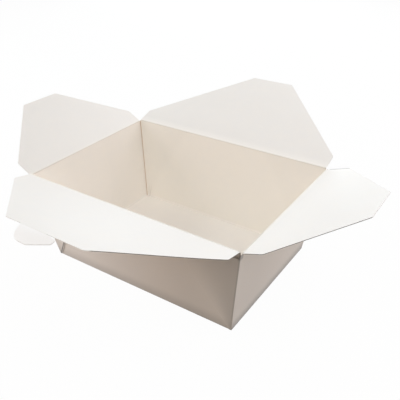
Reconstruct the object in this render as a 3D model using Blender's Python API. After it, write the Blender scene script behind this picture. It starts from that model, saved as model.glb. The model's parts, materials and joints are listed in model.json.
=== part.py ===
"""Open takeout food box, folded from one sheet of paperboard.

The base, four walls and four web corners are one folded sheet. Each web corner is
a real fold: the long wall turns back on itself outside the box, turns again along
the web's diagonal, and runs round the corner into the end wall, so no cut edge
meets the food. Four flaps turn on the creases along the rim, and the front one
carries a lock tab that fits the slit in the back one.

Units are metres, +Z is up, +X runs to the right end and +Y to the back. The origin
is the centre of the base, on the surface the box stands on.
"""

from math import atan2, cos, hypot, pi, radians, sin, tan

import bmesh
import bpy
from mathutils import Matrix, Vector

# Paperboard
BOARD = 0.0005
LAYER_GAP = 0.0003

# Box body, from crease to crease
BASE_LENGTH = 0.1960
BASE_WIDTH = 0.1365
RIM_LENGTH = 0.2210
RIM_WIDTH = 0.1585
RIM_HEIGHT = 0.0875

# Web corners
WEB_DROP = 0.0040
WEB_SPRING = 0.0015
CORNER_RADIUS = 0.0006
FOLD_STEPS = 6
CORNER_STEPS = 4

# Moving creases along the rim
CREASE_RADIUS = 0.0008
CREASE_GAP = 0.0003
CREASE_SIDES = 16
CLOSED_GAP = 0.0004
FLAP_INSET = 0.0012

# Outline that the flaps share
FLAP_RISE = 0.0168
FLAP_ROUNDING = 0.0020
ROUNDING_STEPS = 5

# End flaps
END_FLAP_DEPTH = 0.0755
END_FLAP_EDGE = 0.0425
RIGHT_FLAP_BACK_RISE = 0.0220
LEFT_OPENING = radians(28.0)
RIGHT_OPENING = radians(19.5)

# Front flap and its lock tab
FRONT_FLAP_DEPTH = 0.0825
FRONT_FLAP_EDGE = 0.0760
FRONT_FLAP_BOW = 0.0011
FRONT_OPENING = radians(15.0)
BOW_STEPS = 10
TAB_BEND = radians(26.0)
TAB_DEPTH = 0.0142
TAB_NECK = 0.0244
TAB_HOOK = 0.0114
TAB_OFFSET = 0.0097
TAB_ROUNDING = 0.0110
HOOK_ROUNDING = 0.0014

# Corners of the tab's outline, as shares of its neck and of its depth
HOOK_FOOT_OUT = 0.14
HOOK_TIP_OUT = 0.44
HOOK_TIP_OVERHANG = 0.01
NEAR_CORNER_ALONG = 0.18
FAR_CORNER_ALONG = 0.80
FAR_CORNER_OUT = 1.00

# Back flap, the slit in it and how far it lies under the front flap when shut
LONG_FLAP_LAP = 0.0330
BACK_FLAP_EDGE = 0.0470
BACK_OPENING = radians(18.5)
SLIT_WIDTH = 0.0005
SLIT_CLEARANCE = 0.0015

# Colours of the board, as linear values
OUTSIDE_WHITE = (0.86, 0.84, 0.81, 1.0)
FLAP_WHITE = (0.90, 0.89, 0.87, 1.0)
BOARD_ROUGHNESS = 0.55

# Heights that follow from the sizes above: each closed flap lies clear of the one below
STACK_STEP = BOARD + CLOSED_GAP
END_HINGE_HEIGHT = RIM_HEIGHT
BACK_HINGE_HEIGHT = END_HINGE_HEIGHT + STACK_STEP
FRONT_HINGE_HEIGHT = BACK_HINGE_HEIGHT + STACK_STEP
WALL_SHORTFALL = CREASE_RADIUS + CREASE_GAP
FOLD_PITCH = BOARD + LAYER_GAP

# The tab's crease comes over the slit, so the back flap reaches the lap beyond that line
SLIT_FROM_HINGE = RIM_WIDTH - FRONT_FLAP_DEPTH
BACK_FLAP_DEPTH = SLIT_FROM_HINGE + LONG_FLAP_LAP


def clear_scene():
    for old in list(bpy.data.objects):
        bpy.data.objects.remove(old, do_unlink=True)


def half_length(height):
    """Distance from the middle of the box to the middle of an end wall's board."""
    lean = (RIM_LENGTH - BASE_LENGTH) / 2 / RIM_HEIGHT
    return BASE_LENGTH / 2 + lean * height


def half_width(height):
    """Distance from the middle of the box to the middle of a long wall's board."""
    lean = (RIM_WIDTH - BASE_WIDTH) / 2 / RIM_HEIGHT
    return BASE_WIDTH / 2 + lean * height


def web_cover_at_rim():
    """Length of rim that a folded web covers, found from the sheet laid flat.

    Round a base corner the flat sheet holds the base's right angle, the corner
    angles of two walls, and the web. The web folds in half along its diagonal,
    so half of its angle lies against the long wall.
    """
    flare_x = (RIM_LENGTH - BASE_LENGTH) / 2
    flare_y = (RIM_WIDTH - BASE_WIDTH) / 2
    long_wall_slant = hypot(RIM_HEIGHT, flare_y)
    end_wall_slant = hypot(RIM_HEIGHT, flare_x)
    long_wall_flare = atan2(flare_x, long_wall_slant)
    end_wall_flare = atan2(flare_y, end_wall_slant)
    web_angle = pi / 2 - long_wall_flare - end_wall_flare
    return flare_x + long_wall_slant * tan(web_angle / 2 - long_wall_flare)


def web_cover(height):
    """Distance from the end wall back to the web's diagonal fold."""
    at_base = 2 * FOLD_PITCH
    return at_base + (web_cover_at_rim() - at_base) * height / RIM_HEIGHT


def web_spring(height):
    """How far the diagonal fold stands off, because folded board springs open."""
    return WEB_SPRING * height / RIM_HEIGHT


def arc(centre, radius, start, end, steps, side):
    """Points round an arc, each with the direction that points into the box.

    side is 1 where the inner face of the board is on the outside of the bend.
    """
    points = []
    for step in range(steps + 1):
        angle = start + (end - start) * step / steps
        spoke = Vector((cos(angle), sin(angle)))
        points.append((centre + spoke * radius, spoke * side))
    return points


def corner_run(height, wall_zone):
    """Middle line of the board from the long wall through its web to the end wall.

    Gives (point, inward direction, zone) for the corner at +X and -Y, at one
    height. The zone says which rim the board has there.
    """
    end_wall = half_length(height)
    long_wall = -half_width(height)
    turn = FOLD_PITCH / 2
    wall_fold = end_wall - BOARD - LAYER_GAP - turn
    diagonal = Vector((end_wall - web_cover(height), long_wall - 3 * turn - web_spring(height)))

    first = arc(Vector((wall_fold, long_wall - turn)), turn, pi / 2, -pi / 2, FOLD_STEPS, 1)
    second = arc(diagonal, turn, pi / 2, 3 * pi / 2, FOLD_STEPS, -1)
    corner_centre = Vector((end_wall - CORNER_RADIUS, long_wall - 4 * turn + CORNER_RADIUS))
    corner = arc(corner_centre, CORNER_RADIUS, -pi / 2, 0, CORNER_STEPS, -1)

    run = [(first[0][0], first[0][1], wall_zone)]
    run += [(point, inward, "web") for point, inward in first[1:] + second + corner[:1]]
    run += [(point, inward, "end") for point, inward in corner[1:]]
    return run


def mirrored(run, flip_x, flip_y):
    """The same run in another corner; one flip reverses the way it is walked."""
    flip = Vector((-1 if flip_x else 1, -1 if flip_y else 1))
    result = [(point * flip, inward * flip, zone) for point, inward, zone in run]
    if flip_x != flip_y:
        result.reverse()
    return result


def board_ring(height):
    """Middle line of the board right round the box at one height."""
    front = corner_run(height, "front")
    back = corner_run(height, "back")
    ring = mirrored(front, False, False)
    ring += mirrored(back, False, True)
    ring += mirrored(back, True, True)
    ring += mirrored(front, True, False)
    return ring


def tray_mesh():
    """Base, walls and webs as one sheet of board with an inner and an outer face."""
    tops = {
        "front": FRONT_HINGE_HEIGHT - WALL_SHORTFALL,
        "back": BACK_HINGE_HEIGHT - WALL_SHORTFALL,
        "end": END_HINGE_HEIGHT - WALL_SHORTFALL,
        "web": END_HINGE_HEIGHT - WEB_DROP,
    }
    rings_at_top = {zone: board_ring(top) for zone, top in tops.items()}
    underside = board_ring(0)
    floor = board_ring(BOARD)
    half = BOARD / 2

    mesh = bmesh.new()
    outer_low, outer_high, inner_high, inner_low = [], [], [], []
    for index, (point, inward, zone) in enumerate(underside):
        outer_low.append(mesh.verts.new((*(point - inward * half), 0)))
        point, inward, _ = rings_at_top[zone][index]
        outer_high.append(mesh.verts.new((*(point - inward * half), tops[zone])))
        inner_high.append(mesh.verts.new((*(point + inward * half), tops[zone])))
        point, inward, _ = floor[index]
        inner_low.append(mesh.verts.new((*(point + inward * half), BOARD)))

    count = len(underside)
    for low, high in ((outer_low, outer_high), (outer_high, inner_high), (inner_high, inner_low)):
        for index in range(count):
            after = (index + 1) % count
            mesh.faces.new((low[index], low[after], high[after], high[index]))
    mesh.faces.new(list(reversed(outer_low)))
    mesh.faces.new(inner_low)
    return mesh


def rounded(corners, radii):
    """Outline through the corners given, each one rounded by its own radius."""
    outline = []
    count = len(corners)
    for index, (corner, radius) in enumerate(zip(corners, radii)):
        if radius == 0:
            outline.append(corner)
            continue
        before = (corners[index - 1] - corner).normalized()
        after = (corners[(index + 1) % count] - corner).normalized()
        half_angle = before.angle(after) / 2
        centre = corner + (before + after).normalized() * (radius / sin(half_angle))
        start = corner + before * (radius / tan(half_angle)) - centre
        end = corner + after * (radius / tan(half_angle)) - centre
        for step in range(ROUNDING_STEPS + 1):
            outline.append(centre + start.slerp(end, step / ROUNDING_STEPS) * radius)
    return outline


def flap_sheet(hinge_length, depth, edge, neck=(), left_rise=FLAP_RISE):
    """Flat flap in its own plane, hinge along X and free edge towards +Y.

    Its sides rise square from the hinge and then slope in to the free edge. neck
    gives points along the free edge where a tab joins it.
    """
    side = hinge_length / 2 - FLAP_INSET
    right = [Vector((side, 0)), Vector((side, FLAP_RISE)), Vector((edge / 2, depth))]
    left = [Vector((-edge / 2, depth)), Vector((-side, left_rise)), Vector((-side, 0))]
    corners = right + list(neck) + left
    radii = [0, FLAP_ROUNDING, FLAP_ROUNDING] + [0] * len(neck) + [FLAP_ROUNDING, FLAP_ROUNDING, 0]
    mesh = bmesh.new()
    mesh.faces.new([mesh.verts.new((*point, 0)) for point in rounded(corners, radii)])
    return mesh


def lock_tab_corners():
    """Corners of the lock tab beyond its crease, from its hook round to its neck.

    The hook points to the right end of the box and the far side is sloped.
    """
    neck_left = TAB_OFFSET + TAB_NECK / 2
    neck_right = TAB_OFFSET - TAB_NECK / 2
    hook = neck_right - TAB_HOOK
    corners = [
        Vector((hook, HOOK_FOOT_OUT * TAB_DEPTH)),
        Vector((hook - HOOK_TIP_OVERHANG * TAB_NECK, HOOK_TIP_OUT * TAB_DEPTH)),
        Vector((neck_right + NEAR_CORNER_ALONG * TAB_NECK, TAB_DEPTH)),
        Vector((neck_right + FAR_CORNER_ALONG * TAB_NECK, FAR_CORNER_OUT * TAB_DEPTH)),
    ]
    radii = [HOOK_ROUNDING, HOOK_ROUNDING, HOOK_ROUNDING, TAB_ROUNDING]
    return Vector((neck_right, 0)), corners, radii, Vector((neck_left, 0))


def bow_flap(mesh, depth, bow):
    """Sag a flat flap between its hinge and its free edge, most at a third of the way."""
    sag_at_third = 1 / 3 * (1 - 1 / 3) ** 2
    for step in range(1, BOW_STEPS):
        everything = mesh.verts[:] + mesh.edges[:] + mesh.faces[:]
        line = Vector((0, depth * step / BOW_STEPS, 0))
        bmesh.ops.bisect_plane(mesh, geom=everything, dist=1e-7, plane_co=line, plane_no=(0, 1, 0))
    for vert in mesh.verts:
        share = vert.co.y / depth
        vert.co.z -= bow * share * (1 - share) ** 2 / sag_at_third


def front_flap_sheet():
    """Front flap with its lock tab, bent down along the crease between them."""
    neck_right, tab_corners, tab_radii, neck_left = lock_tab_corners()
    to_edge = Vector((0, FRONT_FLAP_DEPTH))
    neck = [neck_left + to_edge, neck_right + to_edge]
    mesh = flap_sheet(RIM_LENGTH, FRONT_FLAP_DEPTH, FRONT_FLAP_EDGE, neck)
    bow_flap(mesh, FRONT_FLAP_DEPTH, FRONT_FLAP_BOW)
    mesh.verts.ensure_lookup_table()
    crease = [min(mesh.verts, key=lambda vert: (vert.co.xy - point).length) for point in neck]

    outline = rounded([neck_right] + tab_corners + [neck_left], [0] + tab_radii + [0])
    bend = Matrix.Rotation(-TAB_BEND, 3, "X")
    free_edge = []
    for point in outline[1:-1]:
        place = bend @ Vector((*point, 0)) + Vector((*to_edge, 0))
        free_edge.append(mesh.verts.new(place))
    mesh.faces.new([crease[0], crease[1]] + free_edge)
    return mesh


def board_material(name, colour):
    material = bpy.data.materials.new(name)
    material.use_nodes = True
    shader = material.node_tree.nodes["Principled BSDF"]
    shader.inputs["Base Color"].default_value = colour
    shader.inputs["Roughness"].default_value = BOARD_ROUGHNESS
    shader.inputs["Metallic"].default_value = 0.0
    return material


def add_object(name, mesh, material=None):
    """Object from a bmesh, with its faces turned outwards."""
    data = bpy.data.meshes.new(name)
    bmesh.ops.recalc_face_normals(mesh, faces=mesh.faces)
    mesh.to_mesh(data)
    mesh.free()
    if material:
        data.materials.append(material)
    result = bpy.data.objects.new(name, data)
    bpy.context.scene.collection.objects.link(result)
    return result


def add_helper(name, mesh, owner):
    """Shape that only a Boolean reads, carried by the piece it shapes."""
    helper = add_object(name, mesh)
    helper.parent = owner
    helper.hide_render = True
    helper.display_type = "WIRE"
    return helper


def apply_boolean(owner, helper, operation):
    modifier = owner.modifiers.new(helper.name, "BOOLEAN")
    modifier.operation = operation
    modifier.solver = "EXACT"
    modifier.object = helper


def crease_bead(hinge_length):
    """Rounded root that the flap turns on, lying along its crease."""
    mesh = bmesh.new()
    length = hinge_length - 2 * FLAP_INSET - 2 * BOARD
    across = Matrix.Rotation(pi / 2, 4, "Y")
    bmesh.ops.create_cone(
        mesh, cap_ends=True, segments=CREASE_SIDES,
        radius1=CREASE_RADIUS, radius2=CREASE_RADIUS, depth=length, matrix=across,
    )
    return mesh


def add_flap(name, sheet, hinge_length, hinge_place, facing, opening, material):
    """Flap with its origin on its crease, turned up by its opening angle."""
    flap = add_object(name, sheet, material)
    flap.location = hinge_place
    flap.rotation_euler = (opening, 0, facing)
    thickness = flap.modifiers.new("Board", "SOLIDIFY")
    thickness.thickness = BOARD
    thickness.offset = 0
    thickness.use_even_offset = True
    bead = add_helper(name + "_bead", crease_bead(hinge_length), flap)
    apply_boolean(flap, bead, "UNION")
    return flap


def lock_slit():
    """Cutter for the slit, where the tab's crease comes when the box is shut."""
    neck_right, corners, _, neck_left = lock_tab_corners()
    reach = [point.x for point in (neck_right, neck_left, *corners)]
    middle = -(min(reach) + max(reach)) / 2
    length = max(reach) - min(reach) + 2 * SLIT_CLEARANCE
    mesh = bmesh.new()
    bmesh.ops.create_cube(mesh, size=1.0)
    bmesh.ops.scale(mesh, verts=mesh.verts, vec=(length, SLIT_WIDTH, 4 * BOARD))
    bmesh.ops.translate(mesh, verts=mesh.verts, vec=(middle, SLIT_FROM_HINGE, 0))
    return mesh


def build_tray(material):
    return add_object("tray", tray_mesh(), material)


def build_end_flaps(material):
    across = half_length(END_HINGE_HEIGHT)
    for name, side, opening, left_rise in (
        ("left_end_flap", -1, LEFT_OPENING, FLAP_RISE),
        ("right_end_flap", 1, RIGHT_OPENING, RIGHT_FLAP_BACK_RISE),
    ):
        sheet = flap_sheet(RIM_WIDTH, END_FLAP_DEPTH, END_FLAP_EDGE, left_rise=left_rise)
        place = (side * across, 0, END_HINGE_HEIGHT)
        add_flap(name, sheet, RIM_WIDTH, place, -side * pi / 2, opening, material)


def build_back_flap(material):
    sheet = flap_sheet(RIM_LENGTH, BACK_FLAP_DEPTH, BACK_FLAP_EDGE)
    place = (0, half_width(BACK_HINGE_HEIGHT), BACK_HINGE_HEIGHT)
    flap = add_flap("back_flap", sheet, RIM_LENGTH, place, 0, BACK_OPENING, material)
    cutter = add_helper("back_flap_slit", lock_slit(), flap)
    apply_boolean(flap, cutter, "DIFFERENCE")


def build_front_flap(material):
    place = (0, -half_width(FRONT_HINGE_HEIGHT), FRONT_HINGE_HEIGHT)
    add_flap("front_flap", front_flap_sheet(), RIM_LENGTH, place, pi, FRONT_OPENING, material)


def main():
    clear_scene()
    body_board = board_material("body_board", OUTSIDE_WHITE)
    flap_board = board_material("flap_board", FLAP_WHITE)
    build_tray(body_board)
    build_end_flaps(flap_board)
    build_back_flap(flap_board)
    build_front_flap(flap_board)


if __name__ == "__main__":
    main()
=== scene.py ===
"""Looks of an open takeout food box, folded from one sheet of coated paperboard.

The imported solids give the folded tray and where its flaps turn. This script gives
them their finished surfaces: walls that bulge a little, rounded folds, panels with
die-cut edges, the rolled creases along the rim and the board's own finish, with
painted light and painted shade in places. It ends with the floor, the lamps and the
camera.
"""

import json
from math import copysign, cos, pi, radians, sin

import bmesh
import bpy
from bpy.props import FloatProperty, FloatVectorProperty, IntProperty, PointerProperty
from mathutils import Euler, Matrix, Vector


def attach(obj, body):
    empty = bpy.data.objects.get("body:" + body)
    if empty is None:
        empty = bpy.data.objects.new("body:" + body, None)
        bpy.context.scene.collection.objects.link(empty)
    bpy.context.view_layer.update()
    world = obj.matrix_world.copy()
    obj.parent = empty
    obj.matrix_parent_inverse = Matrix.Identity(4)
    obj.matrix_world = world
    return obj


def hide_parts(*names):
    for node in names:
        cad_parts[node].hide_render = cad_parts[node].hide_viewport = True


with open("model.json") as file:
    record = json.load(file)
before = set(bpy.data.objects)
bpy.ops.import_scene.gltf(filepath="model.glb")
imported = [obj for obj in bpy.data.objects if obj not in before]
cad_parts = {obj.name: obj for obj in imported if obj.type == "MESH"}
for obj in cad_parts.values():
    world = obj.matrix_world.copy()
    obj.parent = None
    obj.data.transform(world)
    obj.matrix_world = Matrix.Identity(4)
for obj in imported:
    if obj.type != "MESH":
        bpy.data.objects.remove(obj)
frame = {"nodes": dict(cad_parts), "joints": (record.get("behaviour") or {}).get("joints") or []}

bl_info = {
    "name": "Takeout Box Looks",
    "version": (1, 0, 0),
    "blender": (4, 5, 0),
    "location": "3D View > Sidebar > Takeout Box",
    "description": "Folded board, creases, finishes and studio for an open takeout food box",
    "category": "Object",
}

CREASES = {joint["name"]: Vector(joint["pos_m"]) for joint in frame["joints"]}
RIM_LENGTH = 2 * CREASES["right_flap_crease"].x
RIM_HEIGHT = CREASES["right_flap_crease"].z


# Sizes and colours that a user would change

def length(name, description, default):
    return FloatProperty(
        name=name, description=description, default=default, min=0.0,
        unit="LENGTH", subtype="DISTANCE", precision=5,
    )


def angle(name, description, default):
    return FloatProperty(
        name=name, description=description, default=radians(default),
        unit="ROTATION", subtype="ANGLE",
    )


def tint(name, description, default):
    return FloatVectorProperty(
        name=name, description=description, default=default,
        size=3, min=0.0, max=1.0, subtype="COLOR",
    )


def tone(name, description, default):
    return FloatProperty(
        name=name, description=description, default=default, min=0.0, max=1.0, subtype="FACTOR",
    )


def power(name, default):
    return FloatProperty(
        name=name, description=f"Power of the {name.lower()}, in watts", default=default, min=0.0,
    )


class TraySizes(bpy.types.PropertyGroup):
    base_length: length("Base length", "Length of the base between its folds", 0.1960)
    base_width: length("Base width", "Width of the base between its folds", 0.1365)
    web_cover: length("Web cover", "Length of rim that a folded web corner covers", 0.0621)
    crease_gap: length("Crease gap", "From a crease down to the packed wall's top edge", 0.0011)
    crease_reach: length("Crease reach", "How far a wall is raised to meet its crease", 0.00045)
    wall_bulge: length("Wall bulge", "How far a wall's middle stands out of flat", 0.0008)
    fold_rounding: length("Fold rounding", "Rounding of the folds round the base", 0.0007)
    board: length("Board", "Thickness of the paperboard", 0.0005)
    pinch_height: length("Pinch height", "Up to where the web layers are pressed together", 0.0350)
    pinch_share: tone("Pinch share", "How much of the web's spread is left at the base", 0.15)
    panel_step: length("Panel step", "Spacing of the cuts that let a wall bend", 0.0120)


class FlapSizes(bpy.types.PropertyGroup):
    inset: length("Inset", "How far a flap's side stands in from the crease's end", 0.0012)
    rise: length("Rise", "Depth of a flap's square shoulder", 0.0168)
    right_back_rise: length("Right back rise", "The same on the right flap's back side", 0.0220)
    rounding: length("Rounding", "Rounding of a flap's corners", 0.0011)
    end_depth: length("End flap depth", "From the crease to an end flap's edge", 0.0755)
    end_edge: length("End flap edge", "Length of an end flap's free edge", 0.0425)
    left_opening: angle("Left opening", "Angle of the left flap above level", 28.0)
    right_opening: angle("Right opening", "Angle of the right flap above level", 19.5)
    back_depth: length("Back flap depth", "From the crease to the back flap's edge", 0.1090)
    back_edge: length("Back flap edge", "Length of the back flap's free edge", 0.0470)
    back_opening: angle("Back opening", "Angle of the back flap above level", 18.5)
    front_depth: length("Front flap depth", "From the crease to the front flap's edge", 0.0825)
    front_edge: length("Front flap edge", "Length of the front flap's free edge", 0.0760)
    front_opening: angle("Front opening", "Angle of the front flap above level", 15.0)
    front_sag: length("Front sag", "How far the front flap bows below flat", 0.0011)


class TabSizes(bpy.types.PropertyGroup):
    bend: angle("Bend", "How far the lock tab is bent down from its flap", 26.0)
    depth: length("Depth", "From the tab's crease to its far edge", 0.0142)
    neck: length("Neck", "Length of the crease that joins the tab to its flap", 0.0244)
    offset: length("Offset", "How far the neck stands off the flap's middle", 0.0097)
    hook: length("Hook", "How far the hook reaches past the neck", 0.0116)
    hook_foot: length("Hook foot", "From the crease to the hook's near corner", 0.0020)
    hook_tip: length("Hook tip", "From the crease to the hook's far corner", 0.0062)
    near_corner: length("Near corner", "Start of the far edge, from the hook's side of the neck", 0.0044)
    far_corner: length("Far corner", "End of the far edge, from the hook's side of the neck", 0.0195)
    hook_rounding: length("Hook rounding", "How far back the hook's corners are rounded", 0.0010)
    far_rounding: length("Far rounding", "How far back the far corner is rounded", 0.0076)
    slit_length: length("Slit length", "Length of the slit that takes the tab", 0.0390)
    slit_width: length("Slit width", "Width of the slit where the board is pushed open", 0.0001)


class CreaseSizes(bpy.types.PropertyGroup):
    roll: length("Roll", "Radius of the rolled crease that a flap turns on", 0.00062)
    end_share: tone("End share", "Rounding of the roll's ends, as a share of its radius", 0.6)
    band: length("Band", "Width of the stretched coating beside a crease", 0.0030)
    core_share: tone("Core share", "How much of the band is stretched to the full", 0.3)
    sides: IntProperty(
        name="Sides", description="Facets round a rolled crease", default=20, min=8, max=64,
    )


class BoardColours(bpy.types.PropertyGroup):
    # Painted light: Inside and Floor are the same coated face as the flaps' upper face, painted paler
    # than the flaps
    inside: tint("Inside", "Coated face of the walls, towards the food", (0.93, 0.890, 0.835))
    floor: tint("Floor", "Coated face of the base, towards the food", (0.958, 0.920, 0.875))
    outside: tint("Outside", "Face seen when the box is shut", (0.755, 0.705, 0.650))
    # Painted light: the outside painted paler towards the front wall's left, and by a share on the other
    # walls
    painted_lit_outside: tint("Lit outside", "The same where light comes through a wall", (1.0, 0.975, 0.955))
    painted_lit_share: tone("Lit share", "How much of it shows on all but the front wall", 0.13)
    flap: tint("Flap", "Coated face of the flaps", (0.87, 0.852, 0.826))
    # Painted light: the tab's upper face painted paler than the flap that it is cut from
    tab: tint("Tab", "Upper face of the lock tab", (0.970, 0.960, 0.950))
    crease: tint("Crease", "Stretched coating along a crease", (0.895, 0.868, 0.825))
    crease_share: tone("Crease share", "How strongly the stretched coating shows on a flap", 0.6)
    # Painted light: a paler band beside the back flap's crease, standing in for light on its curve there
    back_crease_painted_light: tint("Back crease", "The same, along the back flap's crease", (0.945, 0.915, 0.875))
    back_crease_light_share: tone("Back crease share", "How strongly that coating shows", 0.7)
    cut_edge: tint("Cut edge", "Bare fibre where the board was cut", (0.80, 0.75, 0.68))
    # Painted light: the cut edges round the tab and the right flap's end painted pale where they face
    # from the lamps
    painted_light_edge: tint("Pale edge", "The same round the tab and the right flap's end", (0.97, 0.965, 0.95))
    # Painted shade, not dirt: the cut edges along the flaps' sides at the right painted dark where shadow
    # falls
    painted_shade_edge: tint("Dark edge", "The same, dirtied on the flaps' sides at the right", (0.20, 0.19, 0.17))
    # Painted shade: a brownish line down each inside corner, in the crevice there
    seam: tint("Seam", "Stain of the seam down an inside corner", (0.84, 0.70, 0.58))
    # Painted shade: the inside darker where a web's layers lie behind the wall
    backed_shade_tone: tone("Backed tone", "Tone of the inside where a web backs it", 0.98)
    # Painted shade: dark lines standing in for short pleat creases inside the foot of a corner
    pleat_shade_tone: tone("Pleat tone", "Tone of the short pleats inside the foot of a corner", 0.86)
    # Painted light along the folds round the floor
    fold_painted_light: tone("Fold glow", "How much paler the folds round the floor are", 0.02)
    # Painted light on the inside beside the left corners
    corner_painted_light: tone("Corner glow", "How much paler the inside is beside the left corners", 0.06)
    # Painted shade: a web's outside darker, deepest where it meets the corner and strongest at the front
    # right
    web_shade_tone: tone("Web tone", "Tone of a web's outside at its diagonal, three layers deep", 0.985)
    corner_shade_tone: tone("Corner tone", "Tone of a web's outside where it meets the corner", 0.72)
    corner_shade_share: tone("Corner share", "How much of it shows away from the front right", 0.45)
    # Painted shadow in the gap beside each left web's diagonal
    diagonal_shadow_tone: tone("Diagonal tone", "Tone of the gap beside a left web's diagonal", 0.35)
    # Painted shade: a dark line down each outside corner
    score_shade_tone: tone("Score tone", "Tone of the scored line down an outside corner", 0.85)
    # Painted shade at the top of each outside corner, under the flaps
    tip_shade_tone: tone("Tip tone", "Tone of a corner's outside at its top", 0.55)
    # Painted shade at the walls' feet, deeper on the end walls
    foot_shade_tone: tone("Foot tone", "Tone of a wall's outside at its foot", 0.68)
    end_foot_shade_tone: tone("End foot tone", "Further tone of an end wall's outside at its foot", 0.62)
    # Painted shade: the end walls darker towards the front, the front wall darker towards the right
    front_shade_tone: tone("Front tone", "Tone of an end wall's outside towards the front", 0.90)
    right_shade_tone: tone("Right tone", "Tone of the front wall's outside towards the right", 0.91)
    # Painted shade: a dark line along the right flap's back shoulder, and the flap darker towards its
    # free edge
    shoulder_shade_tone: tone("Shoulder tone", "Tone of the line along the right flap's shoulder", 0.45)
    far_shade_tone: tone("Far tone", "Tone of the right flap towards its free edge", 0.955)
    roughness: tone("Roughness", "Roughness of the coated board", 0.42)


class StudioSettings(bpy.types.PropertyGroup):
    azimuth: angle("Camera azimuth", "Direction the camera stands in, from the front", 33.716)
    elevation: angle("Camera elevation", "Height of the camera above level", 30.336)
    roll: angle("Camera roll", "Turn of the camera about its view", -0.312)
    distance: length("Camera distance", "From the camera to the point it looks at", 0.61889)
    lens: FloatProperty(
        name="Lens", description="Focal length on a 36 mm sensor, in millimetres",
        default=48.142, min=1.0, unit="CAMERA",
    )
    look_at: FloatVectorProperty(
        name="Look at", description="Point on the table that the camera looks at",
        default=(-0.03968, 0.09297, 0.0), size=3, unit="LENGTH", subtype="TRANSLATION",
    )
    back: power("Back lamp", 5.11)
    back_tint: tint("Back tint", "Colour of the back lamp", (0.992, 0.988, 1.0))
    low_back: power("Low back lamp", 3.77)
    low_back_tint: tint("Low back tint", "Colour of the low back lamp", (0.779, 0.909, 1.0))
    high_right: power("High right lamp", 3.74)
    high_right_tint: tint("High right tint", "Colour of the high right lamp", (0.966, 0.961, 1.0))
    front: power("Front lamp", 3.33)
    front_tint: tint("Front tint", "Colour of the front lamp", (0.977, 1.0, 0.924))
    left: power("Left lamp", 5.88)
    left_tint: tint("Left tint", "Colour of the left lamp", (0.859, 0.935, 1.0))
    low_left: power("Low left lamp", 1.43)
    low_left_tint: tint("Low left tint", "Colour of the low left lamp", (1.0, 0.634, 0.482))
    low_right: power("Low right lamp", 3.12)
    low_right_tint: tint("Low right tint", "Colour of the low right lamp", (1.0, 0.910, 0.897))
    sky: FloatProperty(
        name="Surroundings", description="Strength of the soft surround", default=0.25, min=0.0,
    )
    sky_tint: tint("Surroundings tint", "Colour of the soft surround", (1.0, 0.95, 0.90))
    floor_bounce: tint("Floor bounce", "Colour that the floor throws back", (0.50, 0.45, 0.40))
    floor_paper: tint("Floor paper", "Colour of the floor where it shows shadows", (0.95, 0.95, 0.95))
    floor_glow: tone("Floor glow", "Share of the floor that shows as plain white", 0.97)


# Shader maths

class Signal:
    """One output of a shader node, on which maths can be written as maths."""

    def __init__(self, finish, socket):
        self.finish = finish
        self.socket = socket

    def maths(self, operation, first, second):
        return self.finish.add("ShaderNodeMath", {"operation": operation}, {0: first, 1: second})

    def __add__(self, other):
        return self.maths("ADD", self, other)

    def __radd__(self, other):
        return self.maths("ADD", other, self)

    def __sub__(self, other):
        return self.maths("SUBTRACT", self, other)

    def __rsub__(self, other):
        return self.maths("SUBTRACT", other, self)

    def __mul__(self, other):
        return self.maths("MULTIPLY", self, other)

    def __rmul__(self, other):
        return self.maths("MULTIPLY", other, self)

    def __abs__(self):
        return self.finish.add("ShaderNodeMath", {"operation": "ABSOLUTE"}, {0: self})

    def greater(self, other):
        return self.maths("MAXIMUM", self, other)


class Finish:
    """A surface finish, built node by node on a material or on the surroundings."""

    def __init__(self, holder):
        holder.use_nodes = True
        self.holder = holder
        self.nodes = holder.node_tree.nodes
        self.links = holder.node_tree.links
        self.nodes.clear()

    def add(self, kind, settings=None, values=None, output=0):
        """Add a node: its settings first, then the values or links of its sockets."""
        node = self.nodes.new(kind)
        for name, value in (settings or {}).items():
            setattr(node, name, value)
        for name, value in (values or {}).items():
            if isinstance(value, Signal):
                self.links.new(value.socket, node.inputs[name])
            else:
                node.inputs[name].default_value = value
        return Signal(self, node.outputs[output]) if node.outputs else node

    def place(self):
        return self.add("ShaderNodeTexCoord", output="Object")

    def coordinates(self, where):
        """The three coordinates of a place, each as a signal."""
        parts = self.add("ShaderNodeSeparateXYZ", values={"Vector": where})
        return [Signal(self, part) for part in parts.socket.node.outputs]

    def speckle(self, where, size, detail, roughness=0.5):
        """Soft noise about one half, whose features have the size given."""
        return self.add("ShaderNodeTexNoise", values={
            "Vector": where, "Scale": 1 / size, "Detail": detail, "Roughness": roughness,
        })

    def fade(self, distance, full, none):
        """1 at the distance full and past it, easing to 0 at none. Either may be the larger one."""
        return self.add("ShaderNodeMapRange", {"interpolation_type": "SMOOTHSTEP"}, {
            "Value": distance, "From Min": full, "From Max": none, "To Min": 1.0, "To Max": 0.0,
        })

    def mix(self, factor, first, second):
        """Blend of two colours, by the numbers of the Mix node's colour sockets."""
        return self.add("ShaderNodeMix", {"data_type": "RGBA"}, {
            0: factor, 6: first, 7: second,
        }, output=2)

    def shade(self, colour, depth):
        """A colour made lighter or darker by a factor about 1."""
        return self.add("ShaderNodeVectorMath", {"operation": "SCALE"}, {
            0: colour, "Scale": depth,
        })

    def stain_and_shade(self, colour, stain_and_shade):
        """A colour as it looks under a tint: the mottle's tint and the seam's painted shade."""
        return self.add("ShaderNodeVectorMath", {"operation": "MULTIPLY"}, {0: colour, 1: stain_and_shade})

    def paint(self, colour):
        """A plain colour as a signal."""
        return self.add("ShaderNodeCombineXYZ", values=dict(zip("XYZ", colour)))

    def bump(self, height, distance, normal=None):
        values = {"Height": height, "Distance": distance}
        if normal:
            values["Normal"] = normal
        return self.add("ShaderNodeBump", values=values)


def rgba(colour):
    return (*colour, 1.0)


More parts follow.
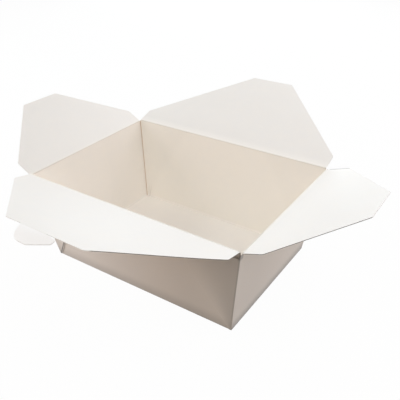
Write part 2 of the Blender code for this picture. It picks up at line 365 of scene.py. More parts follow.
def new_finish(name):
    return Finish(bpy.data.materials.new(name))


def toned(mask, tone_there):
    """Depth of a colour: the tone where the mask is 1, and no change where it is 0."""
    return 1 - mask * (1 - tone_there)


# Shape of the tray, for plain numbers and for signals

def end_lean(tray):
    """How far an end wall leans out for each metre that it rises."""
    return (RIM_LENGTH - tray.base_length) / 2 / RIM_HEIGHT


def long_lean(tray):
    """How far a long wall leans out for each metre that it rises."""
    back = CREASES["back_flap_crease"]
    return (back.y - tray.base_width / 2) / back.z


def rim_width(tray):
    return tray.base_width + 2 * long_lean(tray) * RIM_HEIGHT


def half_sizes(height, tray):
    """Half the tray's length and half its width at a height."""
    half_length = tray.base_length / 2 + height * end_lean(tray)
    half_width = tray.base_width / 2 + height * long_lean(tray)
    return half_length, half_width


def wall_distances(x, y, height, tray):
    """How far a place is inwards from the end walls and from the long walls."""
    half_length, half_width = half_sizes(height, tray)
    return half_length - abs(x), half_width - abs(y)


def web_reach(height, tray):
    """How far along the wall a folded web covers it at a height."""
    return height * (tray.web_cover / RIM_HEIGHT)


# Finishes of the board

# The board's patterns: sizes and depths in metres, and how strongly they show
FIBRE_SIZE = 0.0011
FIBRE_DEPTH = 0.00002
MOTTLE_SIZE = 0.0090
CLOUD_SIZE = 0.0700
WAVE_SIZE = 0.0450
WAVE_DEPTH = 0.0007
PATTERN_TONE = 0.030
FIBRE_ROUGHNESS = 0.10
MOTTLE_ROUGHNESS = 0.08
MOTTLE_STAIN = (1.0, 0.988, 0.968)
CUT_FIBRE_SIZE = 0.0005
CUT_FIBRE_DEPTH = 0.00004
CUT_ROUGHNESS = 0.8

# Each pair says where a tone is full and where it has gone, in metres. Names with X or Y are
# measured from the box's middle.

# On the flaps, measured outwards from a crease, and inwards from a flap's side for its shoulder
ON_BACK_FLAP = (0.0, -0.0010)
BETWEEN_ENDS = (-0.0010, 0.0)
PAINTED_LIGHT_BAND = (0.0010, 0.0095)
ON_RIGHT_FLAP = (0.0040, 0.0020)
SHOULDER_LINE = (0.0009, 0.0017)
FAR_X = (0.1650, 0.1200)
TAB_Y = (-0.1600, -0.1590)

# On the cut edges, measured outwards from a crease
PALE_TAB_Y = (-0.1500, -0.1450)
PALE_RIGHT_X = (0.1600, 0.1500)
PAST_RIGHT_CREASE = (0.0020, 0.0010)
DARK_RIGHT_Y = (0.0220, 0.0200)
PAST_FRONT_CREASE = (0.0, 0.0010)
DARK_FRONT_X = (0.0420, 0.0400)

# Inside the tray, measured inwards from a wall, or to either side of a line
FLOOR_HEIGHT = (0.0008, 0.0030)
INSIDE_LONG_WALL = (0.0020, 0.0030)
BACKED_BY_WEB = (-0.0060, 0.0060)
PLEAT_HEIGHT = (0.0060, 0.0180)
PLEAT_LINE = (0.0002, 0.0007)
CORNER_LIGHT_SPAN = (0.0, 0.0550)
FOLD_LINE = (0.0003, 0.0010)
SEAM_LINE = (0.0003, 0.0006)
SEAM_SIDE = (0.0005, 0.0010)

# Outside the tray, measured in the same way, and down from the rim for a corner's tip
OFF_END_WALL = (-0.0014, -0.0008)
OUTSIDE_LONG_WALL = (0.0015, 0.0025)
PAINTED_LIT_X = (-0.0950, 0.0550)
ON_WEB = (-0.0004, 0.0012)
SCORE_LINE = (0.0004, 0.0014)
GAP_LINE = (0.0004, 0.0012)
TIP_END = (0.0012, 0.0022)
TIP_LONG = (0.0022, 0.0032)
TIP_DROP = (0.0030, 0.0070)
FRONT_Y = (-0.0700, 0.0300)
RIGHT_X = (0.0700, 0.0200)

# How high the painted light along the fold inside the walls' feet lies, and how far in from
# the end wall the painted shade of the seam lies
FOLD_HEIGHT = 0.0016
SEAM_IN = 0.0007

# How far past a web's diagonal the painted shadow of the gap beside it lies, and how far the
# corner's painted shade reaches
GAP_PAST = 0.0006
CORNER_PAST = 0.0020

# How far from the box's middle a tone of one half is full
MIDDLE_BLEND = 0.0200

# Each short pleat's painted shade line: its start from the end wall and how far it runs off for
# each metre up
PLEATS = ((0.0030, 0.12), (0.0042, 0.30))

# A wall's foot, where shade is painted: the height of its soft shade, that of its dark line, and the soft
# one's share
LONG_FOOT = ((0.0, 0.0150), (0.0004, 0.0016), 0.70)
END_FOOT = ((0.0, 0.0130), (0.0006, 0.0022), 0.45)


def on_half(finish, place, side):
    """1 on the half of the box to a side, 1 or -1, easing to 0 at its middle."""
    return finish.fade(place, side * MIDDLE_BLEND, 0.0)


def foot_shade(finish, height, soft, line, soft_share):
    return finish.fade(height, *soft) * soft_share + finish.fade(height, *line) * (1 - soft_share)


def coated_board(finish, colour, where, base_roughness):
    """Colour, roughness and relief that every coated face of the board shares."""
    fibre = finish.speckle(where, FIBRE_SIZE, detail=3.0, roughness=0.6)
    mottle = finish.speckle(where, MOTTLE_SIZE, detail=2.0)
    cloud = finish.speckle(where, CLOUD_SIZE, detail=1.0)
    depth = 1 + (fibre - 0.5 + mottle - 0.5 + cloud - 0.5) * PATTERN_TONE
    skin = finish.shade(finish.mix(mottle, colour, finish.stain_and_shade(colour, MOTTLE_STAIN)), depth)
    roughness = base_roughness + (fibre - 0.5) * FIBRE_ROUGHNESS + (mottle - 0.5) * MOTTLE_ROUGHNESS
    waves = finish.bump(finish.speckle(where, WAVE_SIZE, detail=1.0), WAVE_DEPTH)
    return skin, roughness, finish.bump(fibre, FIBRE_DEPTH, normal=waves)


def finish_board(finish, skin, roughness, relief):
    surface = finish.add("ShaderNodeBsdfPrincipled", values={
        "Base Color": skin, "Roughness": roughness, "Normal": relief,
        "IOR": 1.45, "Specular IOR Level": 0.5,
    })
    finish.add("ShaderNodeOutputMaterial", values={"Surface": surface})
    return finish.holder


def inside_finish(tray, colours):
    """Inner face: painted light, paler on the floor and its folds and by the left corners, and painted
    shade in pleats, in a seam at each corner and where a web backs the wall.
    """
    finish = new_finish("inner_board_face")
    where = finish.place()
    x, y, height = finish.coordinates(where)
    # Painted light: the floor painted paler than the walls' inside
    on_floor = finish.fade(height, *FLOOR_HEIGHT)
    colour = finish.mix(on_floor, rgba(colours.inside), rgba(colours.floor))
    skin, roughness, relief = coated_board(finish, colour, where, colours.roughness)
    to_end, to_long = wall_distances(x, y, height, tray)
    on_long_wall = finish.fade(to_long, *INSIDE_LONG_WALL)
    # Painted shade where a web's layers lie behind the long wall
    web_backed_shade = finish.fade(to_end - web_reach(height, tray), *BACKED_BY_WEB) * on_long_wall
    # Painted shade: two dark lines fanning up from each corner's foot, for short pleats
    first, second = (
        finish.fade(abs(to_end - start - height * spread), *PLEAT_LINE) for start, spread in PLEATS
    )
    pleat_shade = first.greater(second) * finish.fade(height, *PLEAT_HEIGHT) * on_long_wall
    # Painted light beside the left corners
    near_corner = finish.fade(to_end.greater(to_long), *CORNER_LIGHT_SPAN) * on_half(finish, x, -1)
    # Painted light along the fold inside the walls' feet
    in_fold = finish.fade(abs(height - FOLD_HEIGHT), *FOLD_LINE)
    # Painted shade in the crevice down each inside corner
    seam_shade = finish.fade(abs(to_end - SEAM_IN), *SEAM_LINE) * finish.fade(to_long, *SEAM_SIDE)
    skin = finish.mix(seam_shade, skin, finish.stain_and_shade(skin, colours.seam))
    depth = toned(pleat_shade, colours.pleat_shade_tone) + in_fold * colours.fold_painted_light
    depth = depth * toned(web_backed_shade, colours.backed_shade_tone) * (1 + near_corner * colours.corner_painted_light)
    return finish_board(finish, finish.shade(skin, depth), roughness, relief)


def outside_finish(tray, colours):
    """Outer face: painted light towards the front wall's left and faintly on the other walls, and
    painted shade on webs, corners, feet, scored lines, left diagonals and towards the front and right.
    """
    finish = new_finish("outer_board_face")
    where = finish.place()
    x, y, height = finish.coordinates(where)
    to_end, to_long = wall_distances(x, y, height, tray)
    reach = web_reach(height, tray)
    front = on_half(finish, y, -1)
    off_end_wall = finish.fade(to_long - to_end, *OFF_END_WALL)
    on_long_wall = finish.fade(to_long, *OUTSIDE_LONG_WALL) * off_end_wall
    on_front_wall = on_long_wall * front
    # Painted light towards the front wall's left, and by a share on the other walls
    painted_lit = finish.fade(x, *PAINTED_LIT_X) * on_front_wall + (1 - on_front_wall) * colours.painted_lit_share
    colour = finish.mix(painted_lit, rgba(colours.outside), rgba(colours.painted_lit_outside))
    skin, roughness, relief = coated_board(finish, colour, where, colours.roughness)

    # Painted shade on the webs, deepest at the corner and strongest at the front right
    corner_shade_share = colours.corner_shade_share + on_half(finish, x, 1) * front * (1 - colours.corner_shade_share)
    to_corner = finish.fade(to_end, 0.0, reach + CORNER_PAST) * corner_shade_share
    web_shade = (1 - colours.web_shade_tone) + to_corner * (colours.web_shade_tone - colours.corner_shade_tone)
    depth = 1 - web_shade * finish.fade(to_end - reach, *ON_WEB) * on_long_wall
    # Painted shadow in the gap beside a web's diagonal, used on the left half
    diagonal_shadow = finish.fade(abs(to_end - reach - GAP_PAST), *GAP_LINE) * on_long_wall
    at_tip = finish.fade(abs(to_end), *TIP_END) * finish.fade(abs(to_long), *TIP_LONG)
    # Painted shade: feet, scored corners, left diagonals' gaps, corner tips, end walls' fronts, front
    # wall's right
    for mask, tone_there in (
        (foot_shade(finish, height, *LONG_FOOT), colours.foot_shade_tone),
        (foot_shade(finish, height, *END_FOOT) * (1 - on_long_wall), colours.end_foot_shade_tone),
        (finish.fade(to_end, *SCORE_LINE) * off_end_wall, colours.score_shade_tone),
        (diagonal_shadow * on_half(finish, x, -1), colours.diagonal_shadow_tone),
        (at_tip * finish.fade(RIM_HEIGHT - height, *TIP_DROP), colours.tip_shade_tone),
        (finish.fade(y, *FRONT_Y) * (1 - on_long_wall), colours.front_shade_tone),
        (finish.fade(x, *RIGHT_X) * on_front_wall, colours.right_shade_tone),
    ):
        depth = depth * toned(mask, tone_there)
    return finish_board(finish, finish.shade(skin, depth), roughness, relief)


def crease_finish(colours):
    """Rolled crease, where the coating is stretched."""
    finish = new_finish("crease_board_face")
    colour = finish.paint(colours.crease)
    return finish_board(finish, *coated_board(finish, colour, finish.place(), colours.roughness))


def flap_face_finish(name, colour, tab_colour, context):
    """A flap's face: stretched along its crease, with painted light beside the back crease and on the
    upper face's tab, and painted shade at the right flap's shoulder and far end.
    """
    colours = context.scene.box_colours
    creases = context.scene.box_creases
    finish = new_finish(name)
    where = finish.place()
    skin, roughness, relief = coated_board(finish, finish.paint(colour), where, colours.roughness)
    x, y, _ = finish.coordinates(where)
    half_width = CREASES["back_flap_crease"].y
    past_end = abs(x) - RIM_LENGTH / 2
    past_back = y - half_width
    past_any = past_end.greater(abs(y) - half_width)
    stretched = finish.fade(past_any, creases.band * creases.core_share, creases.band)
    skin = finish.mix(stretched * colours.crease_share, skin, rgba(colours.crease))
    on_back_flap = finish.fade(past_back, *ON_BACK_FLAP) * finish.fade(past_end, *BETWEEN_ENDS)
    # Painted light in a band beside the back flap's crease
    painted_light_band = finish.fade(past_back, *PAINTED_LIGHT_BAND) * on_back_flap
    skin = finish.mix(painted_light_band * colours.back_crease_light_share, skin, rgba(colours.back_crease_painted_light))
    # Painted shade along the right flap's back shoulder and towards its free edge
    from_side = half_width - context.scene.box_flaps.inset - y
    at_shoulder = finish.fade(from_side, *SHOULDER_LINE) * (1 - on_back_flap)
    at_shoulder = at_shoulder * finish.fade(x - RIM_LENGTH / 2, *ON_RIGHT_FLAP)
    far_out = finish.fade(x, *FAR_X)
    depth = toned(at_shoulder, colours.shoulder_shade_tone) * toned(far_out, colours.far_shade_tone)
    # The tab takes its own colour: painted light on the upper face
    skin = finish.mix(finish.fade(y, *TAB_Y), finish.shade(skin, depth), rgba(tab_colour))
    return finish_board(finish, skin, roughness, relief)


def cut_edge_finish(colours):
    """Bare layered fibre: painted light at the tab and the right flap's end, painted shade along sides at
    the right.
    """
    finish = new_finish("cut_board_edge")
    where = finish.place()
    x, y, _ = finish.coordinates(where)
    fibre = finish.speckle(where, CUT_FIBRE_SIZE, detail=3.0, roughness=0.7)
    skin = finish.mix(fibre, rgba(colours.cut_edge), rgba(colours.flap))
    # Painted light on the cut edges round the tab and the right flap's end
    pale = finish.fade(y, *PALE_TAB_Y).greater(finish.fade(x, *PALE_RIGHT_X))
    # Painted shade on the cut edges of the right flap's sides and the front flap's edges at the right
    past_front = y - CREASES["front_flap_crease"].y
    painted_shade_right = finish.fade(x - RIM_LENGTH / 2, *PAST_RIGHT_CREASE) * finish.fade(abs(y), *DARK_RIGHT_Y)
    painted_shade_front = finish.fade(past_front, *PAST_FRONT_CREASE) * finish.fade(x, *DARK_FRONT_X)
    skin = finish.mix(pale, skin, rgba(colours.painted_light_edge))
    skin = finish.mix(painted_shade_right.greater(painted_shade_front), skin, rgba(colours.painted_shade_edge))
    roughness = CUT_ROUGHNESS + (fibre - 0.5) * FIBRE_ROUGHNESS
    return finish_board(finish, skin, roughness, finish.bump(fibre, CUT_FIBRE_DEPTH))


# Cutting and rounding a mesh

ALONG = Vector((1, 0, 0))
ACROSS = Vector((0, 1, 0))
UP = Vector((0, 0, 1))

# How near two places count as one, in metres: to merge, to be cut by a plane, and to be told apart
MERGED = 1e-6
IN_PLANE = 1e-7
NEAR = 1e-5

# Faces that bend less than this are one panel
ONE_PANEL = radians(0.4)

# A face counts as level where its normal's Z is past this, up or down
LEVEL = 0.7

# Folds sharper than this stay sharp when a piece is shaded
SHARP_FOLD = radians(35)


def cut_across(mesh, normal, offset):
    """Cut every face that a plane crosses."""
    bmesh.ops.bisect_plane(
        mesh, geom=mesh.verts[:] + mesh.edges[:] + mesh.faces[:], dist=IN_PLANE,
        plane_co=normal * offset, plane_no=normal,
    )


def cut_into_strips(mesh, normal, start, stop, step):
    """Cut the mesh across by planes at even steps, so that its panels can bend."""
    count = max(1, round((stop - start) / step))
    for index in range(count + 1):
        cut_across(mesh, normal, start + (stop - start) * index / count)


def round_off(mesh, parts, affect, rounding, segments, clamp=False):
    """Round edges or corners of a mesh."""
    bmesh.ops.bevel(
        mesh, geom=parts, offset=rounding, offset_type="OFFSET", segments=segments,
        profile=0.5, affect=affect, clamp_overlap=clamp, material=-1,
    )


# Folded tray

# The long folds round the base: how long they are at least, how high at most and how sharp
LONG_FOLD = 0.05
BASE_TOP = 0.001
FOLD_BEND = radians(40)

# How near a wall's plane a point counts as that wall's
WALL_REACH = 0.004

# The inner fold of a web: how far it lies in from the end wall and from the long wall, where its
# nearest layer lies and is drawn to, and how much of its thickness stays
INNER_FOLD_END = (0.0004, 0.0013)
INNER_FOLD_LONG = (-0.0011, 0.0004)
INNER_FOLD_NEAR = 0.00055
INNER_FOLD_DRAWN = 0.00030
INNER_FOLD_SHARE = 0.6

# Level faces above this are the walls' top edges, and below it the floor
TOP_EDGES = 0.01


def copy_of_tray():
    """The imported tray's mesh with its loose triangles joined into whole faces."""
    mesh = bmesh.new()
    mesh.from_mesh(frame["nodes"]["tray"].data)
    bmesh.ops.remove_doubles(mesh, verts=mesh.verts, dist=MERGED)
    bmesh.ops.dissolve_limit(
        mesh, angle_limit=ONE_PANEL, verts=mesh.verts, edges=mesh.edges, use_dissolve_boundaries=False,
    )
    return mesh


def round_long_folds(mesh, rounding):
    """Round the folds between the base and the walls, outside and in."""
    folds = [
        edge for edge in mesh.edges
        if edge.calc_length() > LONG_FOLD
        and max(vert.co.z for vert in edge.verts) < BASE_TOP
        and len(edge.link_faces) == 2
        and edge.calc_face_angle() > FOLD_BEND
    ]
    round_off(mesh, folds, "EDGES", rounding, segments=3, clamp=True)


def bulge_walls(mesh, tray):
    """Push each wall's middle outwards, fading to nothing at its folds."""
    for vert in mesh.verts:
        x, y, z = vert.co
        half_length, half_width = half_sizes(z, tray)
        up = min(max(z / RIM_HEIGHT, 0), 1)
        bulge = 4 * up * (1 - up) * tray.wall_bulge
        if abs(abs(y) - half_width) < WALL_REACH:
            vert.co.y += copysign(bulge * max(0.0, 1 - (x / half_length) ** 2), y)
        if abs(abs(x) - half_length) < WALL_REACH:
            vert.co.x += copysign(bulge * max(0.0, 1 - (y / half_width) ** 2), x)


def reach_the_creases(mesh, tray):
    """Raise each wall's top edge into the rolled crease above it."""
    tops = [place.z - tray.crease_gap for place in CREASES.values()]
    for vert in mesh.verts:
        if any(abs(vert.co.z - top) < NEAR for top in tops):
            vert.co.z += tray.crease_reach


def tighten_corners(mesh, tray):
    """Draw the inner fold of each web closer to the end wall, as pressed board lies."""
    for vert in mesh.verts:
        to_end, to_long = wall_distances(*vert.co, tray)
        in_depth = INNER_FOLD_END[0] < to_end < INNER_FOLD_END[1]
        if in_depth and INNER_FOLD_LONG[0] < to_long < INNER_FOLD_LONG[1]:
            closer = INNER_FOLD_DRAWN + (to_end - INNER_FOLD_NEAR) * INNER_FOLD_SHARE
            vert.co.x += copysign(1, vert.co.x) * (to_end - closer)


def pinch_feet(mesh, tray):
    """Press the web layers together towards the base's corners, where their creases meet."""
    for vert in mesh.verts:
        _, to_long = wall_distances(*vert.co, tray)
        beyond_wall = -to_long - tray.board / 2
        up = min(max(vert.co.z, 0.0) / tray.pinch_height, 1)
        if beyond_wall > 0:
            vert.co.y -= copysign(beyond_wall * (1 - tray.pinch_share) * (1 - up), vert.co.y)


def paint_tray(mesh, tray):
    """Slot 0 for the inner face, and 1 for the outer face, the underside and the top edges."""
    for face in mesh.faces:
        face.smooth = True
        centre = face.calc_center_median()
        if face.normal.z > LEVEL:
            face.material_index = 1 if centre.z > TOP_EDGES else 0
        elif face.normal.z < -LEVEL:
            face.material_index = 1
        elif abs(centre.x) / RIM_LENGTH > abs(centre.y) / rim_width(tray):
            face.material_index = 1 if face.normal.x * centre.x > 0 else 0
        else:
            face.material_index = 1 if face.normal.y * centre.y > 0 else 0


def add_piece(name, mesh, materials, body, replaced=()):
    """Object from a bmesh with its place in its mesh, riding on a body of the frame."""
    data = bpy.data.meshes.new(name)
    mesh.to_mesh(data)
    mesh.free()
    for material in materials:
        data.materials.append(material)
    piece = bpy.data.objects.new(name, data)
    bpy.context.scene.collection.objects.link(piece)
    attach(piece, body)
    if replaced:
        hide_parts(*replaced)
    return piece


def shade_evenly(piece):
    """Shade flat panels flat, right up to the small roundings beside them."""
    piece.data.set_sharp_from_angle(angle=SHARP_FOLD)
    shading = piece.modifiers.new("Even shading", "WEIGHTED_NORMAL")
    shading.keep_sharp = True
    shading.weight = 100


class BOX_OT_fold_tray(bpy.types.Operator):
    """Make the folded tray with bulging walls and rounded folds"""

    bl_idname = "box.fold_tray"
    bl_label = "Fold Tray"

    def execute(self, context):
        tray = context.scene.box_tray
        colours = context.scene.box_colours
        step = tray.panel_step
        mesh = copy_of_tray()
        tighten_corners(mesh, tray)
        reach_the_creases(mesh, tray)
        round_long_folds(mesh, tray.fold_rounding)
        for normal, first, last in (
            (UP, step / 2, RIM_HEIGHT - step),
            (ALONG, step - tray.base_length / 2, tray.base_length / 2 - step),
            (ACROSS, step - tray.base_width / 2, tray.base_width / 2 - step),
        ):
            cut_into_strips(mesh, normal, first, last, step)
        pinch_feet(mesh, tray)
        bulge_walls(mesh, tray)
        mesh.normal_update()
        paint_tray(mesh, tray)
        materials = [inside_finish(tray, colours), outside_finish(tray, colours)]
        piece = add_piece("folded_tray", mesh, materials, "box_body", ["tray"])
        shade_evenly(piece)
        return {"FINISHED"}


# Flaps

# How many strips the front flap is cut into, so that it can bow
FRONT_STRIPS = 14


def flap_sheet(hinge, depth, edge, sizes, neck=(), left_rise=None):
    """Flat flap as one face, hinge along X and free edge towards +Y."""
    side = hinge / 2 - sizes.inset
    right = [(side, 0), (side, sizes.rise), (edge / 2, depth)]
    left = [(-edge / 2, depth), (-side, left_rise or sizes.rise), (-side, 0)]
    mesh = bmesh.new()
    corners = [mesh.verts.new((x, y, 0)) for x, y in right + list(neck) + left]
    mesh.faces.new(corners)
    round_off(mesh, corners[1:3] + corners[-3:-1], "VERTICES", sizes.rounding, segments=4)
    return mesh


def sag(mesh, depth, amount):
    """Bow a flap below flat between its hinge and its edge, most at a third of the way."""
    third = 1 / 3
    for vert in mesh.verts:
        share = vert.co.y / depth
        vert.co.z -= amount * share * (1 - share) ** 2 / (third * (1 - third) ** 2)


def tab_corners(tab):
    """The neck's two ends, and the tab's corners from its hook's foot round to its far corner."""
    neck_right = tab.offset - tab.neck / 2
    neck_left = tab.offset + tab.neck / 2
    corners = [
        (neck_right - tab.hook, tab.hook_foot),
        (neck_right - tab.hook, tab.hook_tip),
        (neck_right + tab.near_corner, tab.depth),
        (neck_right + tab.far_corner, tab.depth),
    ]
    return neck_left, neck_right, corners


def add_lock_tab(mesh, depth, tab):
    """Tab beyond its crease on the flap's free edge, bent down about that crease."""
    neck_left, neck_right, corners = tab_corners(tab)
    crease = [
        min(mesh.verts, key=lambda vert: (vert.co - Vector((x, depth, 0))).length)
        for x in (neck_left, neck_right)
    ]
    edge = [mesh.verts.new((x, depth + y, 0)) for x, y in corners]
    mesh.faces.new(list(reversed(crease + edge)))
    round_off(mesh, edge[:3], "VERTICES", tab.hook_rounding, segments=5)
    round_off(mesh, edge[3:], "VERTICES", tab.far_rounding, segments=12)
    beyond = [vert for vert in mesh.verts if vert.co.y > depth + NEAR]
    turn = Matrix.Rotation(-tab.bend, 3, "X")
    bmesh.ops.rotate(mesh, verts=beyond, cent=(0, depth, 0), matrix=turn)


def cut_slit(mesh, from_hinge, middle, tab):
    """Slit through the flap: two cuts across it, and the sliver between them taken out."""
    low, high = from_hinge - tab.slit_width / 2, from_hinge + tab.slit_width / 2
    left, right = middle - tab.slit_length / 2, middle + tab.slit_length / 2
    for normal, offset in ((ACROSS, low), (ACROSS, high), (ALONG, left), (ALONG, right)):
        cut_across(mesh, normal, offset)
    sliver = [
        face for face in mesh.faces
        if low < face.calc_center_median().y < high and left < face.calc_center_median().x < right
    ]
    bmesh.ops.delete(mesh, geom=sliver, context="FACES")


def flap_materials(context):
    """Upper face, cut edge and lower face, made once and shared by the flaps."""
    colours = context.scene.box_colours
    upper = bpy.data.materials.get("flap_board_face")
    if not upper:
        upper = flap_face_finish("flap_board_face", colours.flap, colours.tab, context)
    cut = bpy.data.materials.get("cut_board_edge") or cut_edge_finish(colours)
    lower = bpy.data.materials.get("flap_outer_face")
    if not lower:
        lower = flap_face_finish("flap_outer_face", colours.outside, colours.outside, context)
    return [upper, cut, lower]


def give_thickness(mesh, board):
    """Make the sheet as thick as the board, half to each side: slot 0 up, 1 cut edge, 2 down."""
    mesh.normal_update()
    if sum(face.normal.z for face in mesh.faces) < 0:
        bmesh.ops.reverse_faces(mesh, faces=mesh.faces)
    bmesh.ops.translate(mesh, verts=mesh.verts, vec=(0, 0, board / 2))
    bmesh.ops.solidify(mesh, geom=mesh.verts[:] + mesh.edges[:] + mesh.faces[:], thickness=board)
    bmesh.ops.recalc_face_normals(mesh, faces=mesh.faces)
    mesh.normal_update()
    for face in mesh.faces:
        face.smooth = True
        if abs(face.normal.z) < LEVEL:
            face.material_index = 1
        else:
            face.material_index = 0 if face.normal.z > 0 else 2


def hang_flap(side, node, mesh, facing, opening, context):
    """Give a flap its thickness, turn it to its opening on its crease and add it as a piece."""
    give_thickness(mesh, context.scene.box_tray.board)
    place = Matrix.Translation(CREASES[f"{side}_flap_crease"])
    turn = Euler((opening, 0, facing)).to_matrix().to_4x4()
    bmesh.ops.transform(mesh, matrix=place @ turn, verts=mesh.verts)
    materials = flap_materials(context)
    piece = add_piece(f"{side}_flap_panel", mesh, materials, f"{side}_flap_body", [node])
    piece.data.set_sharp_from_angle(angle=SHARP_FOLD)


class BOX_OT_hang_end_flaps(bpy.types.Operator):
    """Make the two end flaps at their openings"""

    bl_idname = "box.hang_end_flaps"
    bl_label = "Hang End Flaps"

    def execute(self, context):
        sizes = context.scene.box_flaps
        hinge = rim_width(context.scene.box_tray)
        for side, facing, opening, left_rise in (
            ("left", pi / 2, sizes.left_opening, sizes.rise),
            ("right", -pi / 2, sizes.right_opening, sizes.right_back_rise),
        ):
            mesh = flap_sheet(hinge, sizes.end_depth, sizes.end_edge, sizes, left_rise=left_rise)
            hang_flap(side, f"{side}_end_flap", mesh, facing, opening, context)
        return {"FINISHED"}


class BOX_OT_hang_back_flap(bpy.types.Operator):
    """Make the back flap with the slit that takes the lock tab"""

    bl_idname = "box.hang_back_flap"
    bl_label = "Hang Back Flap"

    def execute(self, context):
        sizes = context.scene.box_flaps
        tab = context.scene.box_tab
        mesh = flap_sheet(RIM_LENGTH, sizes.back_depth, sizes.back_edge, sizes)
        neck_left, _, corners = tab_corners(tab)
        middle = -(neck_left + corners[0][0]) / 2
        cut_slit(mesh, rim_width(context.scene.box_tray) - sizes.front_depth, middle, tab)
        hang_flap("back", "back_flap", mesh, 0, sizes.back_opening, context)
        return {"FINISHED"}


class BOX_OT_hang_front_flap(bpy.types.Operator):
    """Make the front flap with its lock tab"""

    bl_idname = "box.hang_front_flap"
    bl_label = "Hang Front Flap"

    def execute(self, context):
        sizes = context.scene.box_flaps
        tab = context.scene.box_tab
        depth = sizes.front_depth
        neck_left, neck_right, _ = tab_corners(tab)
        neck = [(neck_left, depth), (neck_right, depth)]
        mesh = flap_sheet(RIM_LENGTH, depth, sizes.front_edge, sizes, neck)
        strip = depth / FRONT_STRIPS
        cut_into_strips(mesh, ACROSS, strip, depth - strip, strip)
        sag(mesh, depth, sizes.front_sag)
        add_lock_tab(mesh, depth, tab)
        hang_flap("front", "front_flap", mesh, pi, sizes.front_opening, context)
        return {"FINISHED"}


# Creases

class BOX_OT_roll_creases(bpy.types.Operator):
    """Make the rolled creases along the rim that the flaps turn on"""

    bl_idname = "box.roll_creases"
    bl_label = "Roll Creases"

    def execute(self, context):
        sizes = context.scene.box_creases
        inset = context.scene.box_flaps.inset
        material = crease_finish(context.scene.box_colours)
        half_x = RIM_LENGTH / 2 - inset
        half_y = abs(CREASES["back_flap_crease"].y) - inset
        for name, place in CREASES.items():
            along_x = abs(place.x) < abs(place.y)
            mesh = bmesh.new()
            turn = Matrix.Rotation(pi / 2, 4, "Y" if along_x else "X")
            bmesh.ops.create_cone(
                mesh, cap_ends=True, segments=sizes.sides, radius1=sizes.roll, radius2=sizes.roll,
                depth=2 * (half_x if along_x else half_y), matrix=Matrix.Translation(place) @ turn,
            )
            ends = [edge for edge in mesh.edges if any(len(face.verts) > 4 for face in edge.link_faces)]
            round_off(mesh, ends, "EDGES", sizes.roll * sizes.end_share, segments=3)
            for face in mesh.faces:
                face.smooth = True
            add_piece(f"{name}_roll", mesh, [material], "box_body")
        return {"FINISHED"}


# Stage

WHITE = (1.0, 1.0, 1.0, 1.0)

# In millimetres
SENSOR_WIDTH = 36.0

# How far the floor reaches from the box's middle, and how far it lies below the base
FLOOR_REACH = 4.0
FLOOR_DROP = 0.0002

# Each lamp's direction about the box and above level, in degrees, its distance and its size
LAMP_PLACES = {
    "back": (180, 40, 1.3, 0.9),
    "low_back": (-150, 18, 1.3, 0.9),
    "high_right": (80, 60, 1.3, 0.9),
    "front": (-10, 45, 1.3, 0.9),
    "left": (-75, 22, 1.2, 0.8),
    "low_left": (-40, 12, 1.0, 0.5),
    "low_right": (110, 15, 1.2, 0.6),
}


def direction(azimuth, elevation):
    """Unit vector out from the box: the turn is from its front towards its right, then up."""
    level = cos(elevation)
    return Vector((sin(azimuth) * level, -cos(azimuth) * level, sin(elevation)))


def add_lamp(name, azimuth, elevation, distance, size, watts, colour, aim):
    """Soft square lamp in a direction about the box, aimed at a point on it."""
    lamp = bpy.data.lights.new(name, "AREA")
    lamp.shape = "SQUARE"
    lamp.size = size
    lamp.energy = watts
    lamp.color = colour
    back = direction(radians(azimuth), radians(elevation))
    holder = bpy.data.objects.new(name, lamp)
    holder.location = aim + back * distance
    holder.rotation_euler = (-back).to_track_quat("-Z", "Y").to_euler()
    bpy.context.scene.collection.objects.link(holder)


def camera_share(finish):
    """1 for what the camera sees, directly, in a gloss or through something clear."""
    rays = finish.add("ShaderNodeLightPath").socket.node.outputs
    seen = Signal(finish, rays["Is Camera Ray"])
    for name in ("Is Glossy Ray", "Is Transmission Ray"):
        seen = seen.greater(Signal(finish, rays[name]))
    return seen


def lay_floor(settings):
    mesh = bmesh.new()
    bmesh.ops.create_grid(mesh, x_segments=1, y_segments=1, size=FLOOR_REACH)
    bmesh.ops.translate(mesh, verts=mesh.verts, vec=(0, 0, -FLOOR_DROP))
    data = bpy.data.meshes.new("studio_floor")
    mesh.to_mesh(data)
    mesh.free()
    finish = new_finish("studio_floor_paper")
    bounce = finish.add("ShaderNodeBsdfDiffuse", values={"Color": rgba(settings.floor_bounce)})
    paper = finish.add("ShaderNodeBsdfDiffuse", values={"Color": rgba(settings.floor_paper)})
    white = finish.add("ShaderNodeEmission", values={"Color": WHITE, "Strength": 1.0})
    seen = finish.add("ShaderNodeMixShader", values={0: settings.floor_glow, 1: paper, 2: white})
    surface = finish.add("ShaderNodeMixShader", values={0: camera_share(finish), 1: bounce, 2: seen})
    finish.add("ShaderNodeOutputMaterial", values={"Surface": surface})
    data.materials.append(finish.holder)
    floor = bpy.data.objects.new("studio_floor", data)
    bpy.context.scene.collection.objects.link(floor)


def light_surroundings(settings):
    world = bpy.data.worlds.new("studio_surroundings")
    finish = Finish(world)
    soft = finish.add("ShaderNodeBackground", values={
        "Color": rgba(settings.sky_tint), "Strength": settings.sky,
    })
    white = finish.add("ShaderNodeBackground", values={"Color": WHITE, "Strength": 1.0})
    surface = finish.add("ShaderNodeMixShader", values={0: camera_share(finish), 1: soft, 2: white})
    finish.add("ShaderNodeOutputWorld", values={"Surface": surface})
    bpy.context.scene.world = world


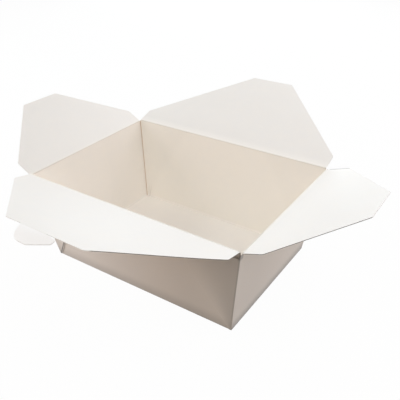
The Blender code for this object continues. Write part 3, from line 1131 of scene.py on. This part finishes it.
def place_camera(settings):
    camera = bpy.data.cameras.new("studio_camera")
    camera.sensor_width = SENSOR_WIDTH
    camera.lens = settings.lens
    back = direction(settings.azimuth, settings.elevation)
    holder = bpy.data.objects.new("studio_camera", camera)
    turn = (-back).to_track_quat("-Z", "Y").to_matrix() @ Matrix.Rotation(settings.roll, 3, "Z")
    holder.location = Vector(settings.look_at) + back * settings.distance
    holder.rotation_euler = turn.to_euler()
    bpy.context.scene.collection.objects.link(holder)
    bpy.context.scene.camera = holder


class BOX_OT_set_stage(bpy.types.Operator):
    """Set the floor, the soft lamps, the surroundings and the camera"""

    bl_idname = "box.set_stage"
    bl_label = "Set Stage"

    def execute(self, context):
        settings = context.scene.box_studio
        aim = Vector((0, 0, RIM_HEIGHT / 2))
        lay_floor(settings)
        light_surroundings(settings)
        for name, place in LAMP_PLACES.items():
            energy, colour = getattr(settings, name), getattr(settings, f"{name}_tint")
            add_lamp(f"{name}_lamp", *place, energy, colour, aim)
        place_camera(settings)
        context.scene.view_settings.view_transform = "Standard"
        return {"FINISHED"}


class BOX_PT_looks(bpy.types.Panel):
    """Sizes, colours and steps of the takeout box"""

    bl_idname = "BOX_PT_looks"
    bl_label = "Takeout Box"
    bl_space_type = "VIEW_3D"
    bl_region_type = "UI"
    bl_category = "Takeout Box"

    def draw(self, context):
        layout = self.layout
        for step in STEPS:
            layout.operator(step.bl_idname)
        for group, name in GROUPS:
            box = layout.box()
            settings = getattr(context.scene, name)
            for field in group.__annotations__:
                box.prop(settings, field)


GROUPS = (
    (TraySizes, "box_tray"),
    (FlapSizes, "box_flaps"),
    (TabSizes, "box_tab"),
    (CreaseSizes, "box_creases"),
    (BoardColours, "box_colours"),
    (StudioSettings, "box_studio"),
)
STEPS = (
    BOX_OT_fold_tray,
    BOX_OT_hang_end_flaps,
    BOX_OT_hang_back_flap,
    BOX_OT_hang_front_flap,
    BOX_OT_roll_creases,
    BOX_OT_set_stage,
)


def register():
    for group, name in GROUPS:
        bpy.utils.register_class(group)
        setattr(bpy.types.Scene, name, PointerProperty(type=group))
    for step in STEPS:
        bpy.utils.register_class(step)
    bpy.utils.register_class(BOX_PT_looks)


def unregister():
    bpy.utils.unregister_class(BOX_PT_looks)
    for step in reversed(STEPS):
        bpy.utils.unregister_class(step)
    for group, name in reversed(GROUPS):
        delattr(bpy.types.Scene, name)
        bpy.utils.unregister_class(group)


def main():
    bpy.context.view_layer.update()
    register()
    bpy.ops.box.fold_tray()
    bpy.ops.box.hang_end_flaps()
    bpy.ops.box.hang_back_flap()
    bpy.ops.box.hang_front_flap()
    bpy.ops.box.roll_creases()
    bpy.ops.box.set_stage()


if __name__ == "__main__":
    main()
